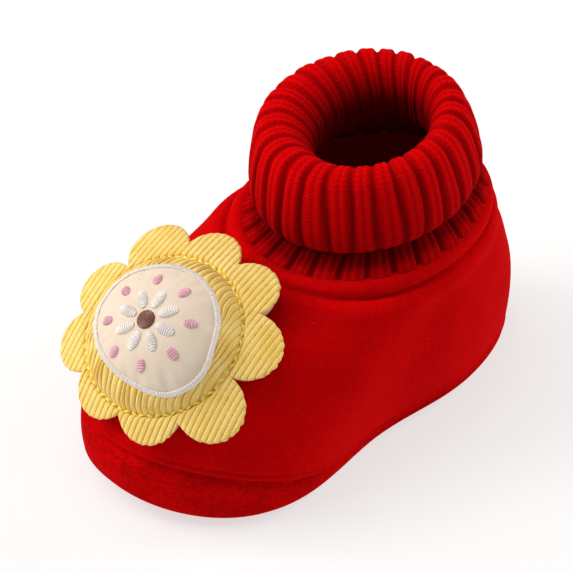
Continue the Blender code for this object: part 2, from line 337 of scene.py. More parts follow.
BOTTOM_SHARES = np.linspace(0.04, 1.0, 22)[:, None]
EDGE_ANGLES = np.radians(np.linspace(0, 90, 10))[1:-1, None]
BAND_SHARES = np.linspace(0, 1, 30)[:, None]
SEAM_SINK = 0.9
SEAM_SOFTNESS = 1.1
SEAM_DEEPEST = 20.0
SEAM_REACH = 65.0
SEAM_SIDE_SHARE = 0.3
LIP_RISE = 0.7
LIP_DEPTH = 1.3
LINT_SPACING = 5.0
LINT_SIZE = 0.13


def sole_floor(phi, share, inset, height):
    """Rows on the sole at shares of its inset outline, at a height over its underside."""
    x, y = plan(phi, inset)
    return points(share * x, share * y, ground(share * y) + height)


def seam_show(phi):
    """How deep the seam is drawn in at directions phi: fully round the toe, less along the sides and heel."""
    shown = bell(turn_from(SEAM_DEEPEST, phi), SEAM_REACH)
    return SEAM_SIDE_SHARE + (1 - SEAM_SIDE_SHARE) * shown


def sole_rows(phi):
    """Underside from its middle out, rounded edge, band up to the seam, a lip tucked behind the upper's edge,
    then the inner wall and the inner floor back to the middle. The band sinks softly at the seam."""
    seam = seam_share(phi)
    x, y = plan(phi, EDGE_INSET * (1 - np.sin(EDGE_ANGLES)))
    edge = points(x, y, ground(y) + EDGE_RISE * (1 - np.cos(EDGE_ANGLES)))
    v = seam * BAND_SHARES
    rising = np.linalg.norm(body_rising(phi, seam), axis=-1)
    sink = SEAM_SINK * seam_show(phi) * bell((seam - v) * rising, SEAM_SOFTNESS)
    band = body(phi, v) - sink[..., None] * body_normal(phi, v)
    lip_share = seam + LIP_RISE / rising
    lip = body(phi, lip_share) - LIP_DEPTH * body_normal(phi, lip_share)
    inner_v = v[::-3]
    inner = body(phi, inner_v) - UPPER_WALL * body_normal(phi, inner_v)
    under = sole_floor(phi, BOTTOM_SHARES, EDGE_INSET, 0.0)
    floor = sole_floor(phi, BOTTOM_SHARES[::-2], FLOOR_INSET, SOLE_THICKNESS)
    return np.concatenate([under, edge, band, lip[None], inner, floor])


sole_velour = velour(
    "sole cotton velour, walked-on pile", lit="#cc0306", deep="#980204",
    brushed_mm=9.0, tuft_mm=1.5, pile_mm=0.55, flatten=1.6)
sole = surface("sole_velour_cover", sole_rows(PHI), sole_velour, caps=True)
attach(sole, "root")
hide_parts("sole")

# Insole
# A thin sock of brushed lining cloth, cut a little smaller than the sole and laid loose on its inner floor.
# It shows only down through the collar.
INSOLE_INSET = 5.6
INSOLE_LIFT = 0.5
INSOLE_THICKNESS = 1.6
INSOLE_SHARES = np.linspace(0.05, 1.0, 18)[:, None]
INSOLE_EDGE = np.radians(np.linspace(-60, 60, 5))[:, None]


def insole_rows(phi):
    """Underside from the middle out, a half-round edge, and the top back to the middle."""
    bottom = SOLE_THICKNESS + INSOLE_LIFT
    half = INSOLE_THICKNESS / 2
    under = sole_floor(phi, INSOLE_SHARES, INSOLE_INSET, bottom)
    x, y = plan(phi, INSOLE_INSET - half * np.cos(INSOLE_EDGE))
    edge = points(x, y, ground(y) + bottom + half + half * np.sin(INSOLE_EDGE))
    top = sole_floor(phi, INSOLE_SHARES[::-1], INSOLE_INSET, bottom + INSOLE_THICKNESS)
    return np.concatenate([under, edge, top])


def flecked_cloth(name, lit, deep, fleck_mm, detail, bump, bump_mm, distortion=0.0, patch_mm=None, gap_shade=None,
                  **look):
    """A plain cloth or thread: fine flecks between two colours, which are its relief too. They stand for
    fibres too fine to show, drawn coarser. Patches may mottle them, and a darker colour of painted shade may
    show where the mesh has a tone for lying between threads."""
    material, shader = new_cloth(name, **look)
    place = node(material, "TexCoord", output="Object")
    flecks = node(material, "TexNoise", {
        "Vector": place, "Scale": 1 / (fleck_mm * MM), "Detail": detail, "Distortion": distortion})
    tone = flecks
    if patch_mm:
        patches = node(material, "TexNoise", {"Vector": place, "Scale": 1 / (patch_mm * MM), "Detail": 2.0})
        tone = node(material, "Math", {0: flecks, 1: patches}, operation="MULTIPLY")
    colour = node(material, "MixRGB", {"Fac": tone, "Color1": linear(deep), "Color2": linear(lit)})
    # Painted shade between threads, mixed in by the mesh's between tone.
    if gap_shade:
        between = node(material, "Attribute", output="Fac", attribute_name="between")
        colour = node(material, "MixRGB", {"Fac": between, "Color1": colour, "Color2": linear(gap_shade)})
    relief = node(material, "Bump", {"Strength": bump, "Distance": bump_mm * MM, "Height": flecks})
    plug(material, shader, {"Base Color": colour, "Normal": relief})
    return material


# Brushed cotton is a knit raised into a short fuzz. The eye sees a dull dark red with soft flecks.
brushed_lining = flecked_cloth(
    "brushed cotton lining", lit="#bc0e12", deep="#8c080a", fleck_mm=0.8, detail=4.0, bump=0.7, bump_mm=0.3,
    roughness=0.95, shine=0.01, sheen=0.2, sheen_roughness=0.5, sheen_colour="#e01c20")
insole = surface("insole_sock", insole_rows(PHI[::3]), brushed_lining, caps=True)
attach(insole, "root")
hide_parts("insole")

# Upper
# One velour shell over a round, full toe, lined and soft. Its lower edge laps the sole's band with a
# topstitched welt, and its collar edge is rolled over the knit and stitched down, which leaves a puffed band
# and a groove.
SEAM_ROWS = 20
MIDDLE_ROWS = 76
COLLAR_ROWS = 44
NEAR_SEAM = 4.5
NEAR_COLLAR = 13.0
INNER_SHARES = np.linspace(1, 0, 26)[:, None]
EDGE_TUCK = 0.9
EDGE_TUCK_WIDTH = 0.6
TOPSTITCH_FROM_SEAM = 1.8
TOPSTITCH_SINK = 0.35
GROOVE_FROM_COLLAR = 5.2
GROOVE_SINK = 1.5
CREASE_RADIUS = 32.0

# Soft bands round the upper by distance from an edge: over the seam a puffed welt and its stitched line, and
# below the collar the tucked edge, the puffed band, the stitched groove and the shoulder under it
SEAM_BANDS = table(
    "at width height",
    (0.9, 0.8, 0.2),
    (TOPSTITCH_FROM_SEAM, 0.45, -TOPSTITCH_SINK),
)
COLLAR_BANDS = table(
    "at width height",
    (0.0, 0.9, -1.0),
    (2.6, 2.0, 0.9),
    (GROOVE_FROM_COLLAR, 0.7, -GROOVE_SINK),
    (8.4, 2.4, 0.7),
)

# Creases, listed one by one: direction, distance down from the collar, tilt, length, width and height.
# A plus height is a ridge and a minus height a trough. The arm of the tilt runs round the shoe at 0 degrees.
CREASES = table(
    "direction down tilt length width height",
    (70, 10.0, 0, 17, 2.6, 0.45),
    (62, 24.0, -20, 16, 5.0, -0.55),
    (108, 27.0, 70, 11, 4.0, 0.50),
    (131, 25.0, 62, 12, 4.2, -0.65),
    (152, 11.0, 8, 14, 2.8, -0.35),
    (180, 21.0, 0, 15, 4.5, -0.45),
    (205, 10.0, -6, 14, 2.8, -0.35),
    (228, 26.0, -60, 12, 4.2, -0.60),
    (252, 27.0, -72, 11, 4.0, 0.45),
    (291, 10.5, 4, 16, 2.8, 0.40),
    (300, 24.0, 18, 15, 5.0, -0.50),
    (0, 9.5, 0, 12, 2.6, 0.35),
)


def lengths_along(lines):
    """Distance along lines of points, each row being one step further on."""
    steps = np.linalg.norm(np.diff(lines, axis=0), axis=-1)
    return np.concatenate([0 * steps[:1], np.cumsum(steps, axis=0)])


def upper_places(phi):
    """For each row of the upper: its v, its distance up from the seam and its distance down from the collar.
    Rows are dense by the seam and the collar and even between, by length along the body."""
    seam = seam_share(phi)
    shares = seam + (1 - seam) * np.linspace(0, 1, SEARCH_STEPS)[:, None]
    lengths = lengths_along(body(phi, shares))
    total = lengths[-1]
    low = np.linspace(0, NEAR_SEAM, SEAM_ROWS)[:, None] + 0 * total
    between = np.linspace(0, 1, MIDDLE_ROWS + 2)[1:-1, None]
    middle = NEAR_SEAM + between * (total - NEAR_COLLAR - NEAR_SEAM)
    high = total - np.linspace(NEAR_COLLAR, 0, COLLAR_ROWS)[:, None]
    distance = np.concatenate([low, middle, high])
    return read_columns(distance, lengths, shares), distance, total - distance


def crease_relief(phi, down):
    """Sum of the listed creases: each is a long bell along its tilt and a short one across it."""
    relief = np.zeros_like(down)
    for crease in CREASES:
        round_shoe = np.radians(turn_from(crease.direction, phi)) * CREASE_RADIUS
        below = down - crease.down
        tilt = np.radians(crease.tilt)
        along = round_shoe * np.cos(tilt) + below * np.sin(tilt)
        across = below * np.cos(tilt) - round_shoe * np.sin(tilt)
        relief += crease.height * bell(along, crease.length) * bell(across, crease.width)
    return relief


def bands(distance, rows):
    """Sum of soft bands, each a bell at its distance from an edge."""
    return sum(row.height * bell(distance - row.at, row.width) for row in rows)


def upper_rows(phi):
    """Outer wall from the seam to the collar with its bands and creases, then the inner wall back down."""
    v, from_seam, from_collar = upper_places(phi)
    relief = bands(from_seam, SEAM_BANDS) + bands(from_collar, COLLAR_BANDS) + crease_relief(phi, from_collar)
    relief -= EDGE_TUCK * seam_show(phi) * bell(from_seam, EDGE_TUCK_WIDTH)
    outer = body(phi, v) + relief[..., None] * body_normal(phi, v)
    inner_v = v[0] + (1 - v[0]) * INNER_SHARES
    inner = body(phi, inner_v) - UPPER_WALL * body_normal(phi, inner_v)
    return np.concatenate([outer, inner])


upper_velour = velour(
    "red cotton velour, sheared pile", lit="#c80306", deep="#b20204",
    brushed_mm=11.0, tuft_mm=1.2, pile_mm=0.4, flatten=1.0)
upper = surface("upper_velour_shell", upper_rows(PHI), upper_velour, closed=True)
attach(upper, "root")
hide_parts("upper")

# Topstitching
# Two rows of lockstitch in red polyester thread: one in the groove under the collar band, and one along the
# welt over the sole. Each stitch is a short thread that dips at both ends.
STITCH_LENGTH = 1.9
STITCH_PITCH = 2.3
THREAD_WIDTH = 0.36
WELT_THREAD_PROUD = 0.1
GROOVE_THREAD_PROUD = 0.2
STITCH_DIP = 0.8
LOOK_AHEAD = 0.01
STITCH_ROWS = np.linspace(-0.96, 0.96, 7)
STITCH_SIDES = np.arange(6) * np.pi / 3


def stitches(middles, ways, normals, length, width):
    """Short threads: spindles of round section along each way, whose ends bend down into the cloth."""
    sides = np.cross(normals, ways)
    along = STITCH_ROWS[None, :, None, None] * length / 2
    radius = width / 2 * np.sqrt(1 - STITCH_ROWS ** 2)[None, :, None, None]
    dip = width * STITCH_DIP * (STITCH_ROWS ** 2)[None, :, None, None]
    turn = STITCH_SIDES[None, None, :, None]
    ways, normals, sides, middles = (part[:, None, None, :] for part in (ways, normals, sides, middles))
    return middles + along * ways + radius * (np.cos(turn) * sides + np.sin(turn) * normals) - dip * normals


def thread(name, lit, deep, roughness, shine, gap_shade=None):
    """Twisted polyester thread: two plies that catch the light. The eye sees a satin gloss in fine twists,
    and painted shade in darker lines between threads that lie side by side, where the mesh has a tone for it."""
    return flecked_cloth(
        name, lit, deep, fleck_mm=0.3, detail=2.0, bump=0.5, bump_mm=0.08, gap_shade=gap_shade,
        roughness=roughness, shine=shine, sheen=0.15, sheen_roughness=0.3, sheen_colour=lit)


def row_of_stitches(v, phi, depth):
    """Lockstitches along one row of the upper, evenly spaced by length and sunk by depth."""
    line = body(phi, v) - depth * body_normal(phi, v)
    lengths = lengths_along(np.concatenate([line, line[:1]]))
    count = int(lengths[-1] / STITCH_PITCH)
    phi, v = np.append(phi, 2 * np.pi), np.append(v, v[0])
    at = np.interp(np.arange(count) * lengths[-1] / count, lengths, phi)
    v_at, v_ahead = np.interp(at, phi, v), np.interp(at + LOOK_AHEAD, phi, v)
    normals = body_normal(at, v_at)
    ways = unit(body(at + LOOK_AHEAD, v_ahead) - body(at, v_at))
    return stitches(body(at, v_at) - depth * normals, ways, normals, STITCH_LENGTH, THREAD_WIDTH)


row_v, row_from_seam, row_from_collar = upper_places(PHI)
welt_v = read_columns(TOPSTITCH_FROM_SEAM, row_from_seam, row_v)
groove_v = read_columns(-GROOVE_FROM_COLLAR, -row_from_collar, row_v)
stitch_rows = np.concatenate([
    row_of_stitches(welt_v, PHI, TOPSTITCH_SINK - WELT_THREAD_PROUD),
    row_of_stitches(groove_v, PHI, GROOVE_SINK - GROOVE_THREAD_PROUD),
])
red_thread = thread("red polyester thread", lit="#c80306", deep="#ae0204", roughness=0.5, shine=0.02)
topstitching = surface("topstitching", stitch_rows, red_thread, caps=True)
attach(topstitching, "root")

# Rib cuff
# An ankle tube of chunky cotton rib knit. It is sewn inside the velour's rolled edge, draws in to the hole,
# rolls over in a fat crest and hangs outside to a soft turned hem, so both faces of the knit show.
# The knit's colour carries painted shade: GROOVE_SHADE in the grooves, WALE_SHADE between wales, the INNER_
# constants down into the hole, the HEM_ constants towards the hem and the TUCKED_ constants under the fold,
# with less of it along the tucked wale ridges. CREST_LIGHT is painted light that pales the grooves on the
# crest.
RIBS = 28
COLUMNS_PER_RIB = 18
SHOWN_ROOT_ROWS = 16
SHOWN_FOLD_ROWS = 88
TUCKED_FOLD_ROWS = 24
TUCKED_ROOT_ROWS = 26
KNIT_STEP = 1e-3
WALES_PER_RIB = 3
WALE_HEIGHT = 0.09
WALE_SHADE = 0.1
COURSE_HEIGHT = 0.9
STITCH_SLANT = 1.1
WALE_RELIEF = 0.6
FUZZ_RELIEF = 0.4
SHOWN_RIB_HEIGHT = 0.8
SHOWN_RIB_BASE = 0.75
CREST_FADE = 0.7
CREST_OUT = 2.0
CREST_WIDTH = 6.0
HEM_FADE = 0.45
HEM_SHADE = 0.5
HEM_DEPTH = 18.0
INNER_SHADE = 0.92
INNER_DEPTH = 8.0
INNER_START = 11.4
INNER_POWER = 1.2
TUCKED_RIB_HEIGHT = 0.75
TUCKED_RIB_BASE = 0.6
TUCKED_SHADE = 0.95
TUCKED_LIT = 0.8
TUCKED_DEPTH = 3.4
TUCKED_LEAST = 0.45
TUCKED_STRIPE = 0.25
GROOVE_FLOOR = 0.01
RIB_SLOPE = 0.22
RIB_WANDER = 0.05
RIB_WANDER_LENGTH = 5.0
RIB_WANDER_WAVES = 9
GROOVE_SHADE = 0.75
CREST_LIGHT = 0.4
CREST_LIT_WIDTH = 4.0
FIRST_RIB = -0.5
HEM_ROUND = 3.4
ROOT_TUCK = 1.2
ROOT_HANDLE = 3.0
HOLE_HANDLE = 4.5
CUFF_LEAN = 0.09
CUFF_FRONT_RISE = 0.03
CUFF_LEFT_RISE = -0.09

# Waves that make a soft knit's ribs uneven in spacing and height: size, number round the cuff and start
RIB_SPACING = ((0.018, 3, np.pi / 2), (0.004, 7, 1.0), (0.004, 13, 2.0), (0.0025, 19, 0.5))
RIB_HEIGHTS = ((0.10, 5, 1.0), (0.08, 11, 0.0))

# Middle of the knit where it leaves the hole, turns over the crest and hangs to the hem,
# as steps out from the collar loop, up from it, back towards the heel and aside to the wearer's left
FOLD = table(
    "out up back aside",
    (-12.8, 14.0, 1.2, 1.6),
    (-13.2, 17.0, 1.2, 1.6),
    (-12.6, 20.0, 1.0, 1.4),
    (-10.9, 22.7, 0.7, 0.9),
    (-8.3, 24.0, 0.3, 0.4),
    (-5.9, 23.0, 0.0, 0.1),
    (-4.4, 20.2, 0.0, 0.0),
    (-3.3, 16.0, 0.0, 0.0),
    (-2.6, 10.8, 0.0, 0.0),
    (-2.9, 4.8, 0.0, 0.0),
)
FOLD_STEPS = np.hypot(np.diff(FOLD.out), np.diff(FOLD.up))
FOLD_PLACES = np.append(0.0, np.cumsum(FOLD_STEPS))
FOLD_LENGTH = FOLD_PLACES[-1]
CREST_AT = FOLD_PLACES[FOLD.up.argmax()]
ROOT_LENGTH = 19.0


def knit_middle(phi, at):
    """Middle of the knit at a distance from the hole: below zero one cubic from the root in the collar up to
    the hole, above zero the smooth fold table carried round the collar loop."""
    out = outward(phi)
    rise = UP * (1 + CUFF_FRONT_RISE * np.cos(phi) + CUFF_LEFT_RISE * np.sin(phi))[..., None]

    def folded(place):
        up = smooth(place, FOLD_PLACES, FOLD.up)[..., None]
        back = smooth(place, FOLD_PLACES, FOLD.back)[..., None] - CUFF_LEAN * (up - FOLD[-1].up)
        aside = smooth(place, FOLD_PLACES, FOLD.aside)[..., None]
        across = smooth(place, FOLD_PLACES, FOLD.out)[..., None] * out
        return collar(phi) + across + up * rise + back * outward(np.pi) + aside * outward(np.pi / 2)

    top = np.ones_like(phi)
    leaving = unit(body_rising(phi, top))
    root = body(phi, top) - UPPER_WALL / 2 * body_normal(phi, top) - ROOT_TUCK * leaving
    hole = folded(np.zeros_like(phi))
    t = np.clip(1 + at / ROOT_LENGTH, 0, 1)[..., None]
    inner = cubic(t, root, root + (ROOT_HANDLE + ROOT_TUCK) * leaving, hole - HOLE_HANDLE * UP, hole)
    return np.where(at[..., None] < 0, inner, folded(np.maximum(at, 0)))


def waves(angle, rows):
    """Sum of sine waves round a loop. Each row is a wave's size, its number round the loop and its start."""
    return sum(size * np.sin(number * angle + start) for size, number, start in rows)


def ease(share):
    """Soft step from 0 to 1: a cubic that is level at both ends."""
    share = np.clip(share, 0, 1)
    return share ** 2 * (3 - 2 * share)


def rib_phase(phi):
    """Number of ribs passed at phi, with the uneven spacing of a soft knit."""
    return RIBS * (phi + waves(phi, RIB_SPACING)) / (2 * np.pi) + FIRST_RIB


def knit_face(phi, at, side):
    """One face of the knit: the middle moved along its normal by half the cloth and the height of its ribs,
    each a flat ridge between soft grooves, which lie where the phase is whole, lined by round wales.
    The two faces' ribs lie half a rib apart and wander a little, and both faces draw in to a round hem.
    Gives the points, and each point's painted shade: darker in a groove and between wales, down into the
    hole, towards the hem and under the fold, with painted light on the crest."""
    onward = knit_middle(phi + KNIT_STEP, at) - knit_middle(phi - KNIT_STEP, at)
    running = knit_middle(phi, at + KNIT_STEP) - knit_middle(phi, at - KNIT_STEP)
    normal = -unit(np.cross(onward, running))
    lines = rib_phase(phi) + RIB_WANDER * np.sin(at / RIB_WANDER_LENGTH + RIB_WANDER_WAVES * phi)
    phase = lines + (0.0 if side > 0 else 0.5)
    wave = ease((np.abs(phase - np.round(phase)) - GROOVE_FLOOR) / RIB_SLOPE)
    wales = 0.5 + 0.5 * np.cos(2 * np.pi * WALES_PER_RIB * lines)
    base = SHOWN_RIB_BASE if side > 0 else TUCKED_RIB_BASE
    tall = SHOWN_RIB_HEIGHT if side > 0 else TUCKED_RIB_HEIGHT
    hem = np.clip((at - FOLD_LENGTH + HEM_ROUND) / HEM_ROUND, 0, 1)
    past_crest = ease((CREST_AT + CREST_OUT - at) / CREST_WIDTH)
    fade = (1 - CREST_FADE * past_crest * (side > 0)) * (1 - HEM_FADE * hem)
    rib = tall * (1 + waves(phi, RIB_HEIGHTS)) * fade + WALE_HEIGHT * wales
    height = (base + rib * wave) * np.sqrt(1 - hem ** 2)
    # Painted light and shade, kept as a tone for the colour: darker in grooves and between wales, down into
    # the hole, towards the hem and under the fold; paler on the crest and along the tucked wale ridges.
    lit = CREST_LIGHT * bell(at - CREST_AT, CREST_LIT_WIDTH)
    groove = (GROOVE_SHADE * (1 - wave) + WALE_SHADE * (1 - wales) * wave) * (1 - lit)
    inside = INNER_SHADE * np.clip((INNER_START - at) / INNER_DEPTH, 0, 1) ** INNER_POWER
    inside = inside + HEM_SHADE * np.clip((at - FOLD_LENGTH + HEM_DEPTH) / HEM_DEPTH, 0, 1)
    under = TUCKED_SHADE * np.clip((at + ROOT_LENGTH - TUCKED_LIT) / TUCKED_DEPTH, TUCKED_LEAST, 1)
    deep = inside if side > 0 else under * (1 - TUCKED_STRIPE * wales * wave)
    return knit_middle(phi, at) + side * height[..., None] * normal, deep + (1 - deep) * groove


def rib_knit(name):
    """Chunky cotton rib: soft yarn in columns of V-shaped stitches on flat ribs. The eye sees dull red ribs,
    deep red grooves, rows of tiny Vs and a light fuzz. The grooves' deep red is painted shade from the mesh's
    groove tone, and the yarn is painted darker in the low hollows between stitches, besides its random fuzz.
    The stitches are drawn coarser than real ones, which are too fine to show. The cloth UV counts ribs across
    and millimetres along."""
    material, shader = new_cloth(
        name, roughness=0.9, shine=0.01, sheen=0.25, sheen_roughness=0.45, sheen_colour="#ff1a1e")
    across = node(material, "SeparateXYZ", {"Vector": node(material, "UVMap", uv_map="cloth")}, "X")
    along = across.node.outputs["Y"]
    wales = node(material, "Math", {0: across, 1: float(WALES_PER_RIB), 2: 0.5}, operation="MULTIPLY_ADD")
    wale = node(material, "Math", {0: wales, 1: 0.5}, operation="PINGPONG")
    slant = node(material, "Math", {0: wale, 1: STITCH_SLANT}, operation="MULTIPLY")
    course = node(material, "Math", {0: along, 1: COURSE_HEIGHT}, operation="DIVIDE")
    loop = node(material, "Math", {0: course, 1: slant}, operation="SUBTRACT")
    leg = node(material, "Math", {0: loop, 1: 0.5}, operation="PINGPONG")
    wale_relief = node(material, "Math", {0: wale, 1: WALE_RELIEF}, operation="MULTIPLY")
    height = node(material, "Math", {0: leg, 1: 0.5, 2: wale_relief}, operation="MULTIPLY_ADD")
    place = node(material, "TexCoord", output="Object")
    fuzz = node(material, "TexNoise", {"Vector": place, "Scale": 1 / (0.5 * MM), "Detail": 3.0})
    relief = node(material, "Math", {0: fuzz, 1: FUZZ_RELIEF, 2: height}, operation="MULTIPLY_ADD")
    # The groove tone is painted shade: it mixes the yarn towards a near-black red.
    depth = node(material, "Attribute", output="Fac", attribute_name="groove")
    groove = node(material, "MapRange", {"Value": depth, "To Max": 0.92})
    # Painted shade in the stitches: the yarn is darker where their relief is low, between the Vs, and the
    # random fuzz varies it too.
    shade = node(material, "MapRange", {"Value": relief, "From Min": 0.1, "From Max": 0.6})
    yarn = node(material, "MixRGB", {"Fac": shade, "Color1": linear("#960203"), "Color2": linear("#d00306")})
    colour = node(material, "MixRGB", {"Fac": groove, "Color1": yarn, "Color2": linear("#420002")})
    bump = node(material, "Bump", {"Strength": 0.8, "Distance": 0.28 * MM, "Height": relief})
    plug(material, shader, {"Base Color": colour, "Normal": bump})
    return material


knit_phi = turns(RIBS * COLUMNS_PER_RIB)
shown_at = np.concatenate([
    np.linspace(-ROOT_LENGTH, 0, SHOWN_ROOT_ROWS)[:-1],
    np.linspace(0, FOLD_LENGTH, SHOWN_FOLD_ROWS),
])
tucked_at = np.concatenate([
    np.linspace(FOLD_LENGTH, 0, TUCKED_FOLD_ROWS)[1:],
    np.linspace(0, -ROOT_LENGTH, TUCKED_ROOT_ROWS)[1:],
])
shown, shown_shade = knit_face(knit_phi, shown_at[:, None] + 0 * knit_phi, 1)
tucked, tucked_shade = knit_face(knit_phi, tucked_at[:, None] + 0 * knit_phi, -1)
knit_along = np.concatenate([shown_at, tucked_at])[:, None] + 0 * knit_phi
rib_cuff = surface(
    "rib_cuff_knit",
    np.concatenate([shown, tucked]),
    rib_knit("red cotton rib knit"),
    closed=True,
    cloth=(rib_phase(np.append(knit_phi, 2 * np.pi)), knit_along),
    tones={"groove": np.concatenate([shown_shade, tucked_shade])},
)
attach(rib_cuff, "root")
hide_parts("rib_cuff")

# Flower backing
# A disc of pale wool felt cut to nine petals, bowed over the toe and sewn to the vamp.
# It is cut a little smaller than the pad, so only its edge shows under the petals.
FELT_THICKNESS = 1.2
GAP = 0.3
FLOWER_SHARE = 0.6
FLOWER_LEAN = 34.5
FLOWER_TURN = 6.0
FLOWER_BOW_RADIUS = 55.0
PETAL_CENTRE_RADIUS = 19.5
PETAL_RADIUS = 7.1
NOTCH_RADIUS = 19.6
FELT_MARGIN = -2.2
FELT_BULGE = 0.15
FELT_SHARES = np.linspace(0.06, 1.0, 14)[:, None]
FLOWER_STEPS = 864
THETA = turns(FLOWER_STEPS)

# Petals as cut by hand: direction from the collar side, reach from the middle, and half the width
PETALS = table(
    "direction reach half_width",
    (-38.5, 28.4, 7.3),
    (-2.0, 26.9, 7.0),
    (33.0, 27.7, 6.7),
    (71.0, 27.4, 7.8),
    (116.0, 28.2, 7.8),
    (157.5, 24.6, 7.5),
    (201.0, 24.0, 7.4),
    (242.0, 26.0, 7.2),
    (280.0, 26.5, 7.0),
)


def flower_frame():
    """Axes of the flower: across to the wearer's left, along towards the collar, and its face's normal."""
    lean, turn = np.radians((FLOWER_LEAN, FLOWER_TURN))
    normal = np.array((np.sin(turn), -np.cos(turn) * np.sin(lean), np.cos(turn) * np.cos(lean)))
    across = unit(np.cross(UP, normal))
    return across, np.cross(normal, across), normal


def flower_seat(normal):
    """Middle of the felt's underside, slid along the normal until the bowed flower just clears the vamp."""
    anchor = body(np.array(0.0), np.array(FLOWER_SHARE))
    phi = np.linspace(-np.pi, np.pi, SEARCH_STEPS)
    vamp = body(phi[None, :], np.linspace(0, 1, SEARCH_STEPS)[:, None]) - anchor
    height = vamp @ normal
    radius_squared = (vamp ** 2).sum(-1) - height ** 2
    under = radius_squared < (PETAL_CENTRE_RADIUS + PETAL_RADIUS) ** 2
    lift = (height + radius_squared / (2 * FLOWER_BOW_RADIUS))[under].max() + GAP
    return anchor + lift * normal


FLOWER_ACROSS, FLOWER_ALONG, FLOWER_NORMAL = flower_frame()
FLOWER_SEAT = flower_seat(FLOWER_NORMAL)


def on_flower(radius, theta, height):
    """Point of the flower at a radius, a direction and a height over the felt's underside, which is bowed:
    it falls with the square of the radius."""
    radius, theta, height = (part[..., None] for part in np.broadcast_arrays(radius, theta, height))
    spoke = np.cos(theta) * FLOWER_ALONG + np.sin(theta) * FLOWER_ACROSS
    return FLOWER_SEAT + radius * spoke + (height - radius ** 2 / (2 * FLOWER_BOW_RADIUS)) * FLOWER_NORMAL


def petal_edge(theta):
    """Radius of the flower's edge: the outermost of nine circles, one for each petal, or the notch radius."""
    edge = np.full_like(theta, NOTCH_RADIUS)
    for petal in PETALS:
        offset = theta - np.radians(petal.direction)
        centre = petal.reach - petal.half_width
        chord = petal.half_width ** 2 - (centre * np.sin(offset)) ** 2
        reach = centre * np.cos(offset) + np.sqrt(np.clip(chord, 0, None))
        edge = np.where(chord > 0, np.maximum(edge, reach), edge)
    return edge


def felt_rows(theta):
    """Underside from the middle to the edge, then the top back to the middle."""
    edge = petal_edge(theta) + FELT_MARGIN
    under = on_flower(FELT_SHARES * edge, theta, 0.0)
    rim = on_flower(edge + FELT_BULGE, theta, FELT_THICKNESS / 2)
    top = on_flower(FELT_SHARES[::-1] * edge, theta, FELT_THICKNESS)
    return np.concatenate([under, rim[None], top])


# Wool felt is matted fibres cut clean. The eye sees a pale, warm, slightly pink cream with a hairy edge.
wool_felt = flecked_cloth(
    "cream wool felt", lit="#e2c2a8", deep="#c79f84", fleck_mm=0.6, detail=5.0, bump=0.8, bump_mm=0.25,
    distortion=0.8, roughness=0.95, shine=0.02, sheen=0.06, sheen_roughness=0.6, sheen_colour="#e0b090")
flower_backing = surface("flower_felt", felt_rows(THETA), wool_felt, caps=True)
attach(flower_backing, "root")
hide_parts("flower_backing")

# Flower pad
# A flower of yellow cotton corduroy, stuffed into a dome inside a stitched ring and thinly into its petals.
# The cords run from toe to collar across every petal, and inside the ring the cloth is gathered.
CORD_PITCH = 1.37
CORD_HEIGHT = 0.36
CORD_POWER = 4.0
CORD_TURN = 1.5
CORD_CROWDING = 0.0024
GATHER_HEIGHT = 0.75
GATHER_SIDE = 66.0
GATHER_PUSH_REACH = 3.0
GATHER_TURN = 0.10
GATHER_STRETCH = 1.9
GATHER_POWER = 2.2
GATHER_SHADE = 0.75
GATHER_FADE = 1.2
RIM_CORD = 0.1
RIM_RAW_FROM = 0.4
RIM_RAW_SPAN = 0.25
STITCH_RING_RADIUS = 18.5
RING_SINK = 1.0
RING_SOFTNESS = 0.6
PETAL_HEIGHT = 4.1
EDGE_ROUND = 0.5
EDGE_DROP = 0.4
RIM_UNDERCUT = 1.6

# Waves that push the gathered cords aside, make them uneven in depth and fray the petals' cut edge
GATHER_PUSH = ((0.225, 11, 0.8), (0.135, 23, 2.0))
GATHER_DEPTHS = ((0.35, 9, 0.6), (0.25, 23, 0.0))
FRAY = ((0.05, 61, 0.0), (0.05, 97, 1.0))

# Edge of the disc on the dome as cut by hand: radius by direction from the collar side
DISC = table(
    "direction radius",
    (0, 14.4),
    (45, 14.8),
    (80, 15.1),
    (110, 16.4),
    (140, 15.8),
    (167, 13.6),
    (195, 12.7),
    (230, 13.3),
    (265, 14.8),
    (295, 14.9),
    (330, 14.2),
    (360, 14.4),
)

# Stuffed top inside the stitch ring by radius, with heights from under the felt
DOME = table(
    "radius height",
    (0.0, 9.6),
    (6.0, 9.4),
    (12.0, 8.7),
    (15.3, 7.5),
    (17.5, 5.6),
    (STITCH_RING_RADIUS, PETAL_HEIGHT),
)
PAD_UNDERSIDE = FELT_THICKNESS + GAP
SLACK_SHARE = 0.93
SLACK_LEAN = 0.03
CLOTH_HOLE = 0.5
CLOTH_ROWS = 30
CLOTH_COLUMNS = 120
CLOTH_SCALE = 10.0
CLOTH_PRESSURE = 4.0
CLOTH_SURPLUS = 0.04
CLOTH_FRAMES = 20
CLOTH_SOFTENING = 2
RISE_LIMIT = 1.2
DOME_RADII = np.concatenate([np.linspace(1.0, 12.0, 7), np.linspace(12.4, STITCH_RING_RADIUS, 50)])[:, None]
PETAL_SHARES = np.linspace(0, 1, 42)[1:, None]
RIM_SHARES = np.linspace(0, 1, 6)[1:, None]
UNDERSIDE_SHARES = np.linspace(0.94, 0.06, 10)[:, None]


def slack_dome(radius, theta):
    """Height of the middle before it is stuffed: the dome table drawn down, fullest by the gathers."""
    height = smooth(radius, DOME.radius, DOME.height) - PETAL_HEIGHT
    return PETAL_HEIGHT + height * (SLACK_SHARE + SLACK_LEAN * np.cos(theta - np.radians(GATHER_SIDE)))


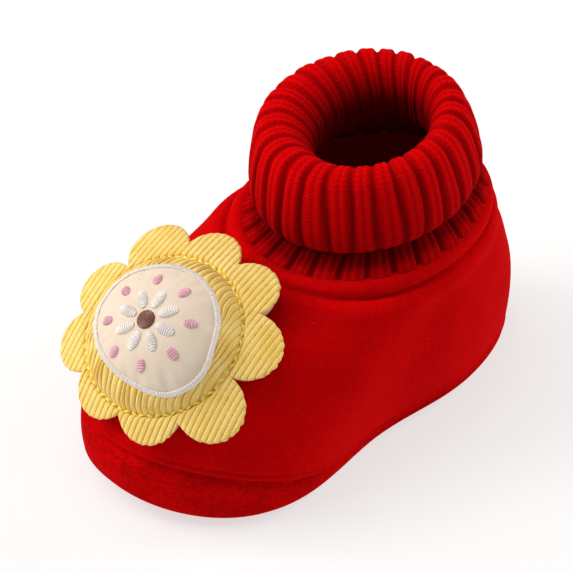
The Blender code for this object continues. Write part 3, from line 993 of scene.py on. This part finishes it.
def stuffed_rise():
    """Cloth simulation of the stuffing: a slack cap, larger than life and held at the ring, swells under
    pressure without gravity. Gives how far each point rises, capped, softened and back at true size."""
    radii = np.linspace(CLOTH_HOLE, STITCH_RING_RADIUS, CLOTH_ROWS)[:, None]
    theta = turns(CLOTH_COLUMNS)
    slack = slack_dome(radii, theta)
    grid = CLOTH_SCALE * points(radii * np.cos(theta), radii * np.sin(theta), slack)
    cap = surface("stuffing", grid, caps=True)
    ring = np.arange(slack.size - CLOTH_COLUMNS, slack.size).tolist()
    cap.vertex_groups.new(name="held").add([*ring, slack.size + 1], 1.0, "REPLACE")
    cloth = cap.modifiers.new("stuffing", "CLOTH")
    cloth.settings.vertex_group_mass = "held"
    cloth.settings.use_pressure = True
    cloth.settings.uniform_pressure_force = CLOTH_PRESSURE
    cloth.settings.shrink_min = -CLOTH_SURPLUS
    cloth.settings.effector_weights.gravity = 0.0
    cloth.collision_settings.use_collision = False
    for number in range(1, CLOTH_FRAMES + 1):
        bpy.context.scene.frame_set(number)
    swollen = np.empty(3 * len(cap.data.vertices), np.float32)
    cap.evaluated_get(bpy.context.evaluated_depsgraph_get()).data.vertices.foreach_get("co", swollen)
    bpy.data.objects.remove(cap)
    bpy.context.scene.frame_set(1)
    height = swollen.reshape(-1, 3)[:slack.size, 2].reshape(slack.shape) / (CLOTH_SCALE * MM)
    rise = np.clip(height - slack, -RISE_LIMIT, RISE_LIMIT)
    for _ in range(CLOTH_SOFTENING):
        rise = (np.roll(rise, -1, axis=1) + 2 * rise + np.roll(rise, 1, axis=1)) / 4
        rise[1:-1] = (rise[:-2] + 2 * rise[1:-1] + rise[2:]) / 4
    return rise


STUFFED_RISE = stuffed_rise()


def dome(radius, theta):
    """Height of the stuffed middle: the slack dome and its simulated rise, read between cloth points."""
    radius, theta = np.broadcast_arrays(radius, theta)
    row = np.clip((radius - CLOTH_HOLE) / (STITCH_RING_RADIUS - CLOTH_HOLE), 0, 1) * (CLOTH_ROWS - 1)
    turn = theta / (2 * np.pi) * CLOTH_COLUMNS
    i = np.minimum(row.astype(int), CLOTH_ROWS - 2)
    j = np.floor(turn).astype(int)
    here, ahead = j % CLOTH_COLUMNS, (j + 1) % CLOTH_COLUMNS
    inner = STUFFED_RISE[i, here] + (turn - j) * (STUFFED_RISE[i, ahead] - STUFFED_RISE[i, here])
    outer = STUFFED_RISE[i + 1, here] + (turn - j) * (STUFFED_RISE[i + 1, ahead] - STUFFED_RISE[i + 1, here])
    return slack_dome(radius, theta) + inner + (row - i) * (outer - inner)


def disc_edge(theta):
    """Radius of the disc's edge: a smooth line through the hand-cut table."""
    return smooth(np.degrees(theta) % 360, DISC.direction, DISC.radius)


def pad_ridge(radius, theta):
    """Cord at a place on the flower, from 0 in a groove to 1 on a ridge, as one less a power of the distance
    from the cord's middle. Cords are straight lines that crowd a little to the left. Inside the ring they are
    rounder and pushed aside in waves. Where the gathers are fullest they lie closer and turn outwards."""
    inside = radius < STITCH_RING_RADIUS
    past = np.minimum(radius - STITCH_RING_RADIUS, 0)
    fullness = np.clip(np.cos(theta - np.radians(GATHER_SIDE)), 0, 1)
    reach = radius + (GATHER_STRETCH - 1) * past * fullness
    along, across = reach * np.cos(theta), reach * np.sin(theta)
    turn = np.radians(CORD_TURN)
    straight = across * np.cos(turn) - along * np.sin(turn) + CORD_CROWDING * across ** 2
    pushed = -waves(theta, GATHER_PUSH) * past / GATHER_PUSH_REACH - GATHER_TURN * along * fullness
    phase = (straight + np.where(inside, pushed, 0.0)) / CORD_PITCH
    return 1 - np.abs(2 * (phase - np.round(phase))) ** np.where(inside, GATHER_POWER, CORD_POWER)


def edge_distance(radius, theta):
    """Distance in from the nearest petal's edge: its half width less the distance to its spine, which runs
    from the middle of the flower to the middle of the petal's circle."""
    deepest = np.zeros(np.broadcast(radius, theta).shape)
    for petal in PETALS:
        offset = theta - np.radians(petal.direction)
        past = np.maximum(radius * np.cos(offset) - petal.reach + petal.half_width, 0)
        beside = np.where(np.cos(offset) > 0, radius * np.sin(offset), radius)
        deepest = np.maximum(deepest, petal.half_width - np.hypot(past, beside))
    return deepest


def pad_top(radius, theta):
    """Height of the stuffed top: flat petals with a rounded edge, the dome, its gathered cords, and the ring
    that the stitches pull down."""
    slope = 1 - np.clip(edge_distance(radius, theta) / EDGE_ROUND, 0, 1)
    petal = PETAL_HEIGHT - EDGE_DROP * (1 - np.sqrt(1 - slope ** 2))
    inside = radius < STITCH_RING_RADIUS
    smooth_top = np.where(inside, dome(np.minimum(radius, STITCH_RING_RADIUS), theta), petal)
    deeper = 1 + waves(theta, GATHER_DEPTHS)
    gathering = GATHER_HEIGHT * deeper * np.clip((radius - disc_edge(theta)) / GATHER_FADE, 0, 1)
    relief = np.where(inside, gathering, CORD_HEIGHT) * (pad_ridge(radius, theta) - 0.5)
    return smooth_top + relief - RING_SINK * bell(radius - STITCH_RING_RADIUS, RING_SOFTNESS)


def pad_rows(theta):
    """Top from the middle over the dome and the petals, an undercut rim, and the flat underside back to the
    middle. Gives the rows, and two tones for each point: in a groove, and on the raw cut edge."""
    edge = petal_edge(theta) + waves(theta, FRAY)
    ridge = pad_ridge(edge, theta)
    petals = STITCH_RING_RADIUS + PETAL_SHARES * (edge - STITCH_RING_RADIUS)
    radii = np.concatenate([DOME_RADII + 0 * theta, petals])
    top = on_flower(radii, theta, pad_top(radii, theta))
    rim_top = pad_top(edge, theta)
    rim = on_flower(edge - RIM_UNDERCUT * RIM_SHARES + RIM_CORD * ridge, theta,
                    rim_top + RIM_SHARES * (PAD_UNDERSIDE - rim_top))
    under = on_flower(UNDERSIDE_SHARES * edge, theta, PAD_UNDERSIDE)
    hidden = np.zeros((len(under), len(theta)))
    # The groove tone is the ochre ground weave's own colour; inside the ring GATHER_SHADE weakens it, painted
    # light that lifts the gathered dome's shaded flank.
    shade = np.where(radii < STITCH_RING_RADIUS, GATHER_SHADE, 1.0)
    groove = np.concatenate([shade * (1 - pad_ridge(radii, theta)), 1 - ridge + 0 * RIM_SHARES, hidden])
    cut = np.clip((RIM_SHARES - RIM_RAW_FROM) / RIM_RAW_SPAN, 0, 1)
    raw = np.concatenate([0 * radii, cut + 0 * theta, hidden + 1])
    return np.concatenate([top, rim, under]), {"groove": groove, "raw": raw}


def corduroy(name):
    """Cotton corduroy: cut pile in round cords with the ground weave bare between them. The eye sees soft
    butter yellow ridges, ochre grooves, a short nap and a pale raw edge. The mesh has tones for grooves
    and for the raw edge."""
    material, shader = new_cloth(
        name, roughness=0.9, shine=0.1, sheen=0.3, sheen_roughness=0.5, sheen_colour="#ffe89c")
    place = node(material, "TexCoord", output="Object")
    nap = node(material, "TexNoise", {"Vector": place, "Scale": 1 / (0.35 * MM), "Detail": 3.0})
    patches = node(material, "TexNoise", {"Vector": place, "Scale": 1 / (6.0 * MM), "Detail": 2.0})
    mottle = node(material, "Math", {0: nap, 1: patches}, operation="MULTIPLY")
    tone = node(material, "MapRange", {"Value": mottle, "From Min": 0.12, "From Max": 0.38})
    pile = node(material, "MixRGB", {"Fac": tone, "Color1": linear("#e8c15e"), "Color2": linear("#f6da88")})
    groove = node(material, "Attribute", output="Fac", attribute_name="groove")
    depth = node(material, "MapRange", {"Value": groove, "From Min": 0.3, "From Max": 0.95})
    cords = node(material, "MixRGB", {"Fac": depth, "Color1": pile, "Color2": linear("#b48230")})
    raw = node(material, "Attribute", output="Fac", attribute_name="raw")
    colour = node(material, "MixRGB", {"Fac": raw, "Color1": cords, "Color2": linear("#dfbc98")})
    bump = node(material, "Bump", {"Strength": 0.6, "Distance": 0.15 * MM, "Height": nap})
    plug(material, shader, {"Base Color": colour, "Normal": bump})
    return material


pad_grid, pad_tones = pad_rows(THETA)
pad_corduroy = corduroy("yellow cotton corduroy")
flower_pad = surface("flower_corduroy_pad", pad_grid, pad_corduroy, caps=True, tones=pad_tones)
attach(flower_pad, "root")
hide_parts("flower_pad")

# Ring stitches
# Hand stitches in bright yellow embroidery thread that run round the ring and hold the gathers to the felt.
# Each slants to one side or the other in turn and is drawn down into the corduroy.
RING_STITCHES = 62
RING_STITCH_LENGTH = 2.0
RING_THREAD_WIDTH = 0.7
RING_ZIGZAG = 24.0


def ring_stitches():
    """Stitches along the ring, turned a little to one side and the other in turn."""
    theta = turns(RING_STITCHES)
    zigzag = np.radians(RING_ZIGZAG) * (-1.0) ** np.arange(RING_STITCHES)
    tangent = -np.sin(theta)[:, None] * FLOWER_ALONG + np.cos(theta)[:, None] * FLOWER_ACROSS
    spoke = np.cos(theta)[:, None] * FLOWER_ALONG + np.sin(theta)[:, None] * FLOWER_ACROSS
    normals = unit(FLOWER_NORMAL + spoke * STITCH_RING_RADIUS / FLOWER_BOW_RADIUS)
    ways = np.cos(zigzag)[:, None] * tangent + np.sin(zigzag)[:, None] * np.cross(normals, tangent)
    height = PETAL_HEIGHT - RING_SINK + RING_THREAD_WIDTH * STITCH_DIP
    middles = on_flower(STITCH_RING_RADIUS, theta, height)
    return stitches(middles, ways, normals, RING_STITCH_LENGTH, RING_THREAD_WIDTH)


yellow_thread = thread("yellow embroidery thread", lit="#fff07c", deep="#ffe04c", roughness=0.5, shine=0.3)
flower_stitching = surface("flower_ring_stitches", ring_stitches(), yellow_thread, caps=True)
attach(flower_stitching, "root")

# Middle disc
# A round of cream cotton drill laid on the dome, with its raw edge hidden under the satin border.
# It is cut by hand, so it isn't quite round, and it puckers where the border draws it in.
DISC_LIFT = 0.4
DISC_PUCKERS = 26
DISC_PUCKER_SWAY = ((1.5, 3, 0.0),)
DISC_PUCKER_HEIGHT = 0.22
DISC_PUCKER_POWER = 6
DISC_EDGE_POWER = 12
DISC_UNDER = 0.4
DISC_SHARES = np.linspace(0.03, 1.0, 26)[:, None]


def disc_top(radius, theta):
    """Height of the disc: the dome lifted by the cloth, which dips under the border, with shallow puckers
    beside it."""
    share = np.clip(radius / disc_edge(theta), 0, 1)
    wave = np.sin(DISC_PUCKERS * theta + waves(theta, DISC_PUCKER_SWAY))
    beside = share ** DISC_PUCKER_POWER
    pucker = DISC_PUCKER_HEIGHT * beside * (1 - beside)
    return dome(radius, theta) + DISC_LIFT * (1 - share ** DISC_EDGE_POWER) + pucker * wave


def disc_rows(theta):
    """Top from the middle to the edge, then the underside back to the middle."""
    radii = DISC_SHARES * disc_edge(theta)
    top = on_flower(radii, theta, disc_top(radii, theta))
    under = on_flower(radii[::-3], theta, dome(radii[::-3], theta) - DISC_UNDER)
    return np.concatenate([top, under])


# Cotton drill is a close twill weave, pressed flat. The eye sees a matt warm cream with a faint thread grain.
cotton_drill = flecked_cloth(
    "cream cotton drill", lit="#eee2d2", deep="#d9c6b0", fleck_mm=0.45, detail=3.0, bump=0.5, bump_mm=0.1,
    patch_mm=5.0, roughness=0.88, shine=0.15, sheen=0.15, sheen_roughness=0.5, sheen_colour="#fff6ea")
disc = surface("flower_middle_disc", disc_rows(THETA[::3]), cotton_drill, caps=True)
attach(disc, "root")

# Satin border
# A dense band of white satin stitch over the disc's edge, each thread laid across the band.
# It binds the raw edge and sews the disc to the pad, and it is slimmer on one side.
BORDER_WIDTH = 1.1
BORDER_LEAN = 0.2
BORDER_SLIM_SIDE = 105.0
BORDER_HEIGHT = 0.6
BORDER_LIFT = 0.2
BORDER_THREADS = 190
BORDER_STEPS_PER_THREAD = 8
BORDER_SLANT = 1.2
BORDER_LEAST = 0.62
BORDER_UNDER = 0.3
BORDER_UNEVEN = ((0.03, 17, 0.0), (0.04, 73, 1.0), (0.04, 113, 0.0))
BORDER_GAP_SHADE = 0.35
BORDER_ANGLES = np.radians(np.linspace(-8, 188, 15))[:, None]


def border_rows():
    """Half-round band carried round the disc's edge. Thread ridges cross it a little aslant.
    Gives the rows, and for each point a tone of painted shade, strongest between two threads."""
    theta = turns(BORDER_THREADS * BORDER_STEPS_PER_THREAD)
    ridge = 0.5 + 0.5 * np.cos(BORDER_THREADS * theta + BORDER_SLANT * np.cos(BORDER_ANGLES))
    uneven = 1 + waves(theta, BORDER_UNEVEN)
    swell = (BORDER_LEAST + (1 - BORDER_LEAST) * ridge) * uneven
    edge = disc_edge(theta)
    width = BORDER_WIDTH * (1 - BORDER_LEAN * np.cos(theta - np.radians(BORDER_SLIM_SIDE)))
    radius = edge - np.cos(BORDER_ANGLES) * width / 2 * uneven
    height = BORDER_LIFT + BORDER_HEIGHT * np.sin(BORDER_ANGLES) * swell
    top = on_flower(radius, theta, dome(radius, theta) + height)
    under = on_flower(edge, theta, dome(edge, theta) - BORDER_UNDER)
    # Painted shade: the thread's colour darkens between two threads.
    between = BORDER_GAP_SHADE * np.concatenate([1 - ridge, 0 * ridge[:1]])
    return np.concatenate([top, under[None]]), {"between": between}


white_thread = thread(
    "white embroidery thread", lit="#fffaf6", deep="#e8dfda", roughness=0.35, shine=0.5, gap_shade="#a3968f")
border_grid, border_tones = border_rows()
border = surface("flower_satin_border", border_grid, white_thread, closed=True, tones=border_tones)
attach(border, "root")

# Rosette
# A plain daisy worked in satin stitch on the disc: a brown middle, white petals round it, and pink seeds.
# Each oval is a low pad of glossy polyester threads laid side by side.
OVAL_HEIGHT = 0.65
SATIN_PITCH = 0.5
SATIN_RIDGE = 0.13
THREAD_END = 0.09
OVAL_EDGE = 0.98
OVAL_UNDER = 0.1
OVAL_GAP_SHADE = 0.5
OVAL_SHARES = np.linspace(0.05, 1.0, 20)[:, None]
OVAL_TURNS = turns(120)


def satin_ovals(row):
    """Ovals of satin stitch set round the disc: low domes ridged by threads that lie across each oval.
    Gives the grids, and for each point a tone of painted shade, strongest between two threads."""
    grids = []
    for theta in np.radians(row.first) + turns(row.count):
        out = OVAL_SHARES * np.cos(OVAL_TURNS) * row.length / 2
        ridge = np.cos(2 * np.pi * out / SATIN_PITCH)
        side = OVAL_SHARES * np.sin(OVAL_TURNS) * (row.width / 2 + THREAD_END * ridge)
        along = (row.radius + out) * np.cos(theta) - side * np.sin(theta)
        across = (row.radius + out) * np.sin(theta) + side * np.cos(theta)
        radius, turn = np.hypot(along, across), np.arctan2(across, along)
        rise = (OVAL_HEIGHT + SATIN_RIDGE * ridge) * np.sqrt(1 - OVAL_EDGE * OVAL_SHARES ** 2)
        top = on_flower(radius, turn, dome(radius, turn) + DISC_LIFT + rise)
        foot = on_flower(radius[-1:], turn[-1:], dome(radius[-1:], turn[-1:]) - OVAL_UNDER)
        grids.append(np.concatenate([top, foot]))
    # Painted shade between the laid threads, darkening each thread's colour there.
    between = OVAL_GAP_SHADE * (0.5 - 0.5 * np.concatenate([ridge, ridge[-1:]]))
    return np.array(grids), {"between": np.broadcast_to(between, (row.count, *between.shape))}


brown_thread = thread(
    "brown embroidery thread", lit="#945a46", deep="#64362a", roughness=0.3, shine=0.6, gap_shade="#2c120b")
pink_thread = thread(
    "pink embroidery thread", lit="#f6ced8", deep="#dda0b2", roughness=0.35, shine=0.5, gap_shade="#b0607a")

# Ovals of the rosette: name, thread, number, distance from the middle, length, width and first direction
OvalRow = namedtuple("OvalRow", "name thread count radius length width first")
ROSETTE = (
    OvalRow("rosette_middle", brown_thread, 1, 0.0, 4.4, 4.4, 0.0),
    OvalRow("rosette_petals", white_thread, 8, 5.2, 4.8, 2.5, 0.0),
    OvalRow("rosette_seeds", pink_thread, 8, 10.0, 3.0, 2.1, 22.5),
)
for row in ROSETTE:
    rosette_grids, rosette_tones = satin_ovals(row)
    rosette = surface(row.name, rosette_grids, row.thread, caps=True, tones=rosette_tones)
    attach(rosette, "root")

# Studio
# A plain pale floor under a pale sky, with four softboxes: by the toe, behind the heel, a weak one in front
# and a large one overhead. The camera stands where the photograph's did, seen from the shoe, and frames it.
VIEW_AZIMUTH = 49.0
VIEW_ELEVATION = 40.0
VIEW_DISTANCE = 1000.0
VIEW_WIDTH = 131.0
AIM_RIGHT = -2.9
AIM_UP = 24.8
SENSOR_WIDTH = 36.0
CAMERA_NEAREST = 50.0
FLOOR_HALF = 2500.0
SKY_STRENGTH = 0.27
LIGHT_ROLL = 0.01

view_azimuth, view_elevation = np.radians((VIEW_AZIMUTH, VIEW_ELEVATION))
view_right = np.array((np.cos(view_azimuth), np.sin(view_azimuth), 0.0))
view_level = np.array((np.sin(view_azimuth), -np.cos(view_azimuth), 0.0))
view_back = view_level * np.cos(view_elevation) + UP * np.sin(view_elevation)
view_up = np.cross(view_back, view_right)
foot_middle = np.array((0.0, FOOT_SETBACK, 0.0))
camera_place = foot_middle + VIEW_DISTANCE * view_back
aim = foot_middle + AIM_RIGHT * view_right + AIM_UP * view_up

# A matt white sheet lit from below, which keeps shadows pale
white_table, _ = new_material("white light table", {
    "Base Color": linear("#9a9a9a"),
    "Roughness": 0.95,
    "Specular IOR Level": 0.0,
    "Emission Color": linear("#ffffff"),
    "Emission Strength": 0.63,
})
floor_corners = np.array(((-1, -1, 0), (1, -1, 0), (1, 1, 0), (-1, 1, 0)), float) * FLOOR_HALF * MM
floor_mesh = bpy.data.meshes.new("studio_floor")
floor_mesh.from_pydata(floor_corners.tolist(), [], [(0, 1, 2, 3)])
floor_mesh.materials.append(white_table)
floor = bpy.data.objects.new("studio_floor", floor_mesh)
bpy.context.scene.collection.objects.link(floor)


def look_along(back, up):
    """Rotation whose Z axis is back and whose Y axis is up, as a quaternion."""
    right = np.cross(up, back)
    right, back = unit(right), unit(back)
    rows = np.array((right, np.cross(back, right), back)).T
    return Matrix(rows.tolist()).to_quaternion()


# Softboxes: steps to the camera's right, towards it and up, the side's length, watts and colour
LightRow = namedtuple("LightRow", "name right near up size watts colour")
LIGHTS = (
    LightRow("toe_side_softbox", -620, -40, 520, 420, 4.7, "#fffaf4"),
    LightRow("heel_side_softbox", 620, -300, 330, 380, 2.9, "#fff4f2"),
    LightRow("front_softbox", 420, 560, 300, 420, 0.45, "#ffffff"),
    LightRow("overhead_softbox", -260, -60, 860, 600, 2.9, "#ffffff"),
)
for row in LIGHTS:
    place = row.right * view_right + row.near * view_level + row.up * UP
    lamp = bpy.data.lights.new(row.name, "AREA")
    lamp.energy = row.watts
    lamp.size = row.size * MM
    lamp.color = linear(row.colour)[:3]
    holder = bpy.data.objects.new(row.name, lamp)
    holder.location = (place * MM).tolist()
    holder.rotation_mode = "QUATERNION"
    holder.rotation_quaternion = look_along(place, UP + LIGHT_ROLL * view_right)
    bpy.context.scene.collection.objects.link(holder)

world = bpy.data.worlds.new("pale studio")
world.use_nodes = True
world.node_tree.nodes["Background"].inputs["Color"].default_value = linear("#ffffff")
world.node_tree.nodes["Background"].inputs["Strength"].default_value = SKY_STRENGTH
bpy.context.scene.world = world
bpy.context.scene.view_settings.view_transform = "Standard"

camera_data = bpy.data.cameras.new("photo_view")
camera_data.sensor_width = SENSOR_WIDTH
camera_data.lens = SENSOR_WIDTH * VIEW_DISTANCE / VIEW_WIDTH
camera_data.clip_start = CAMERA_NEAREST * MM
camera = bpy.data.objects.new("photo_view", camera_data)
camera.location = (camera_place * MM).tolist()
camera.rotation_mode = "QUATERNION"
camera.rotation_quaternion = look_along(camera_place - aim, view_up)
bpy.context.scene.collection.objects.link(camera)
bpy.context.scene.camera = camera
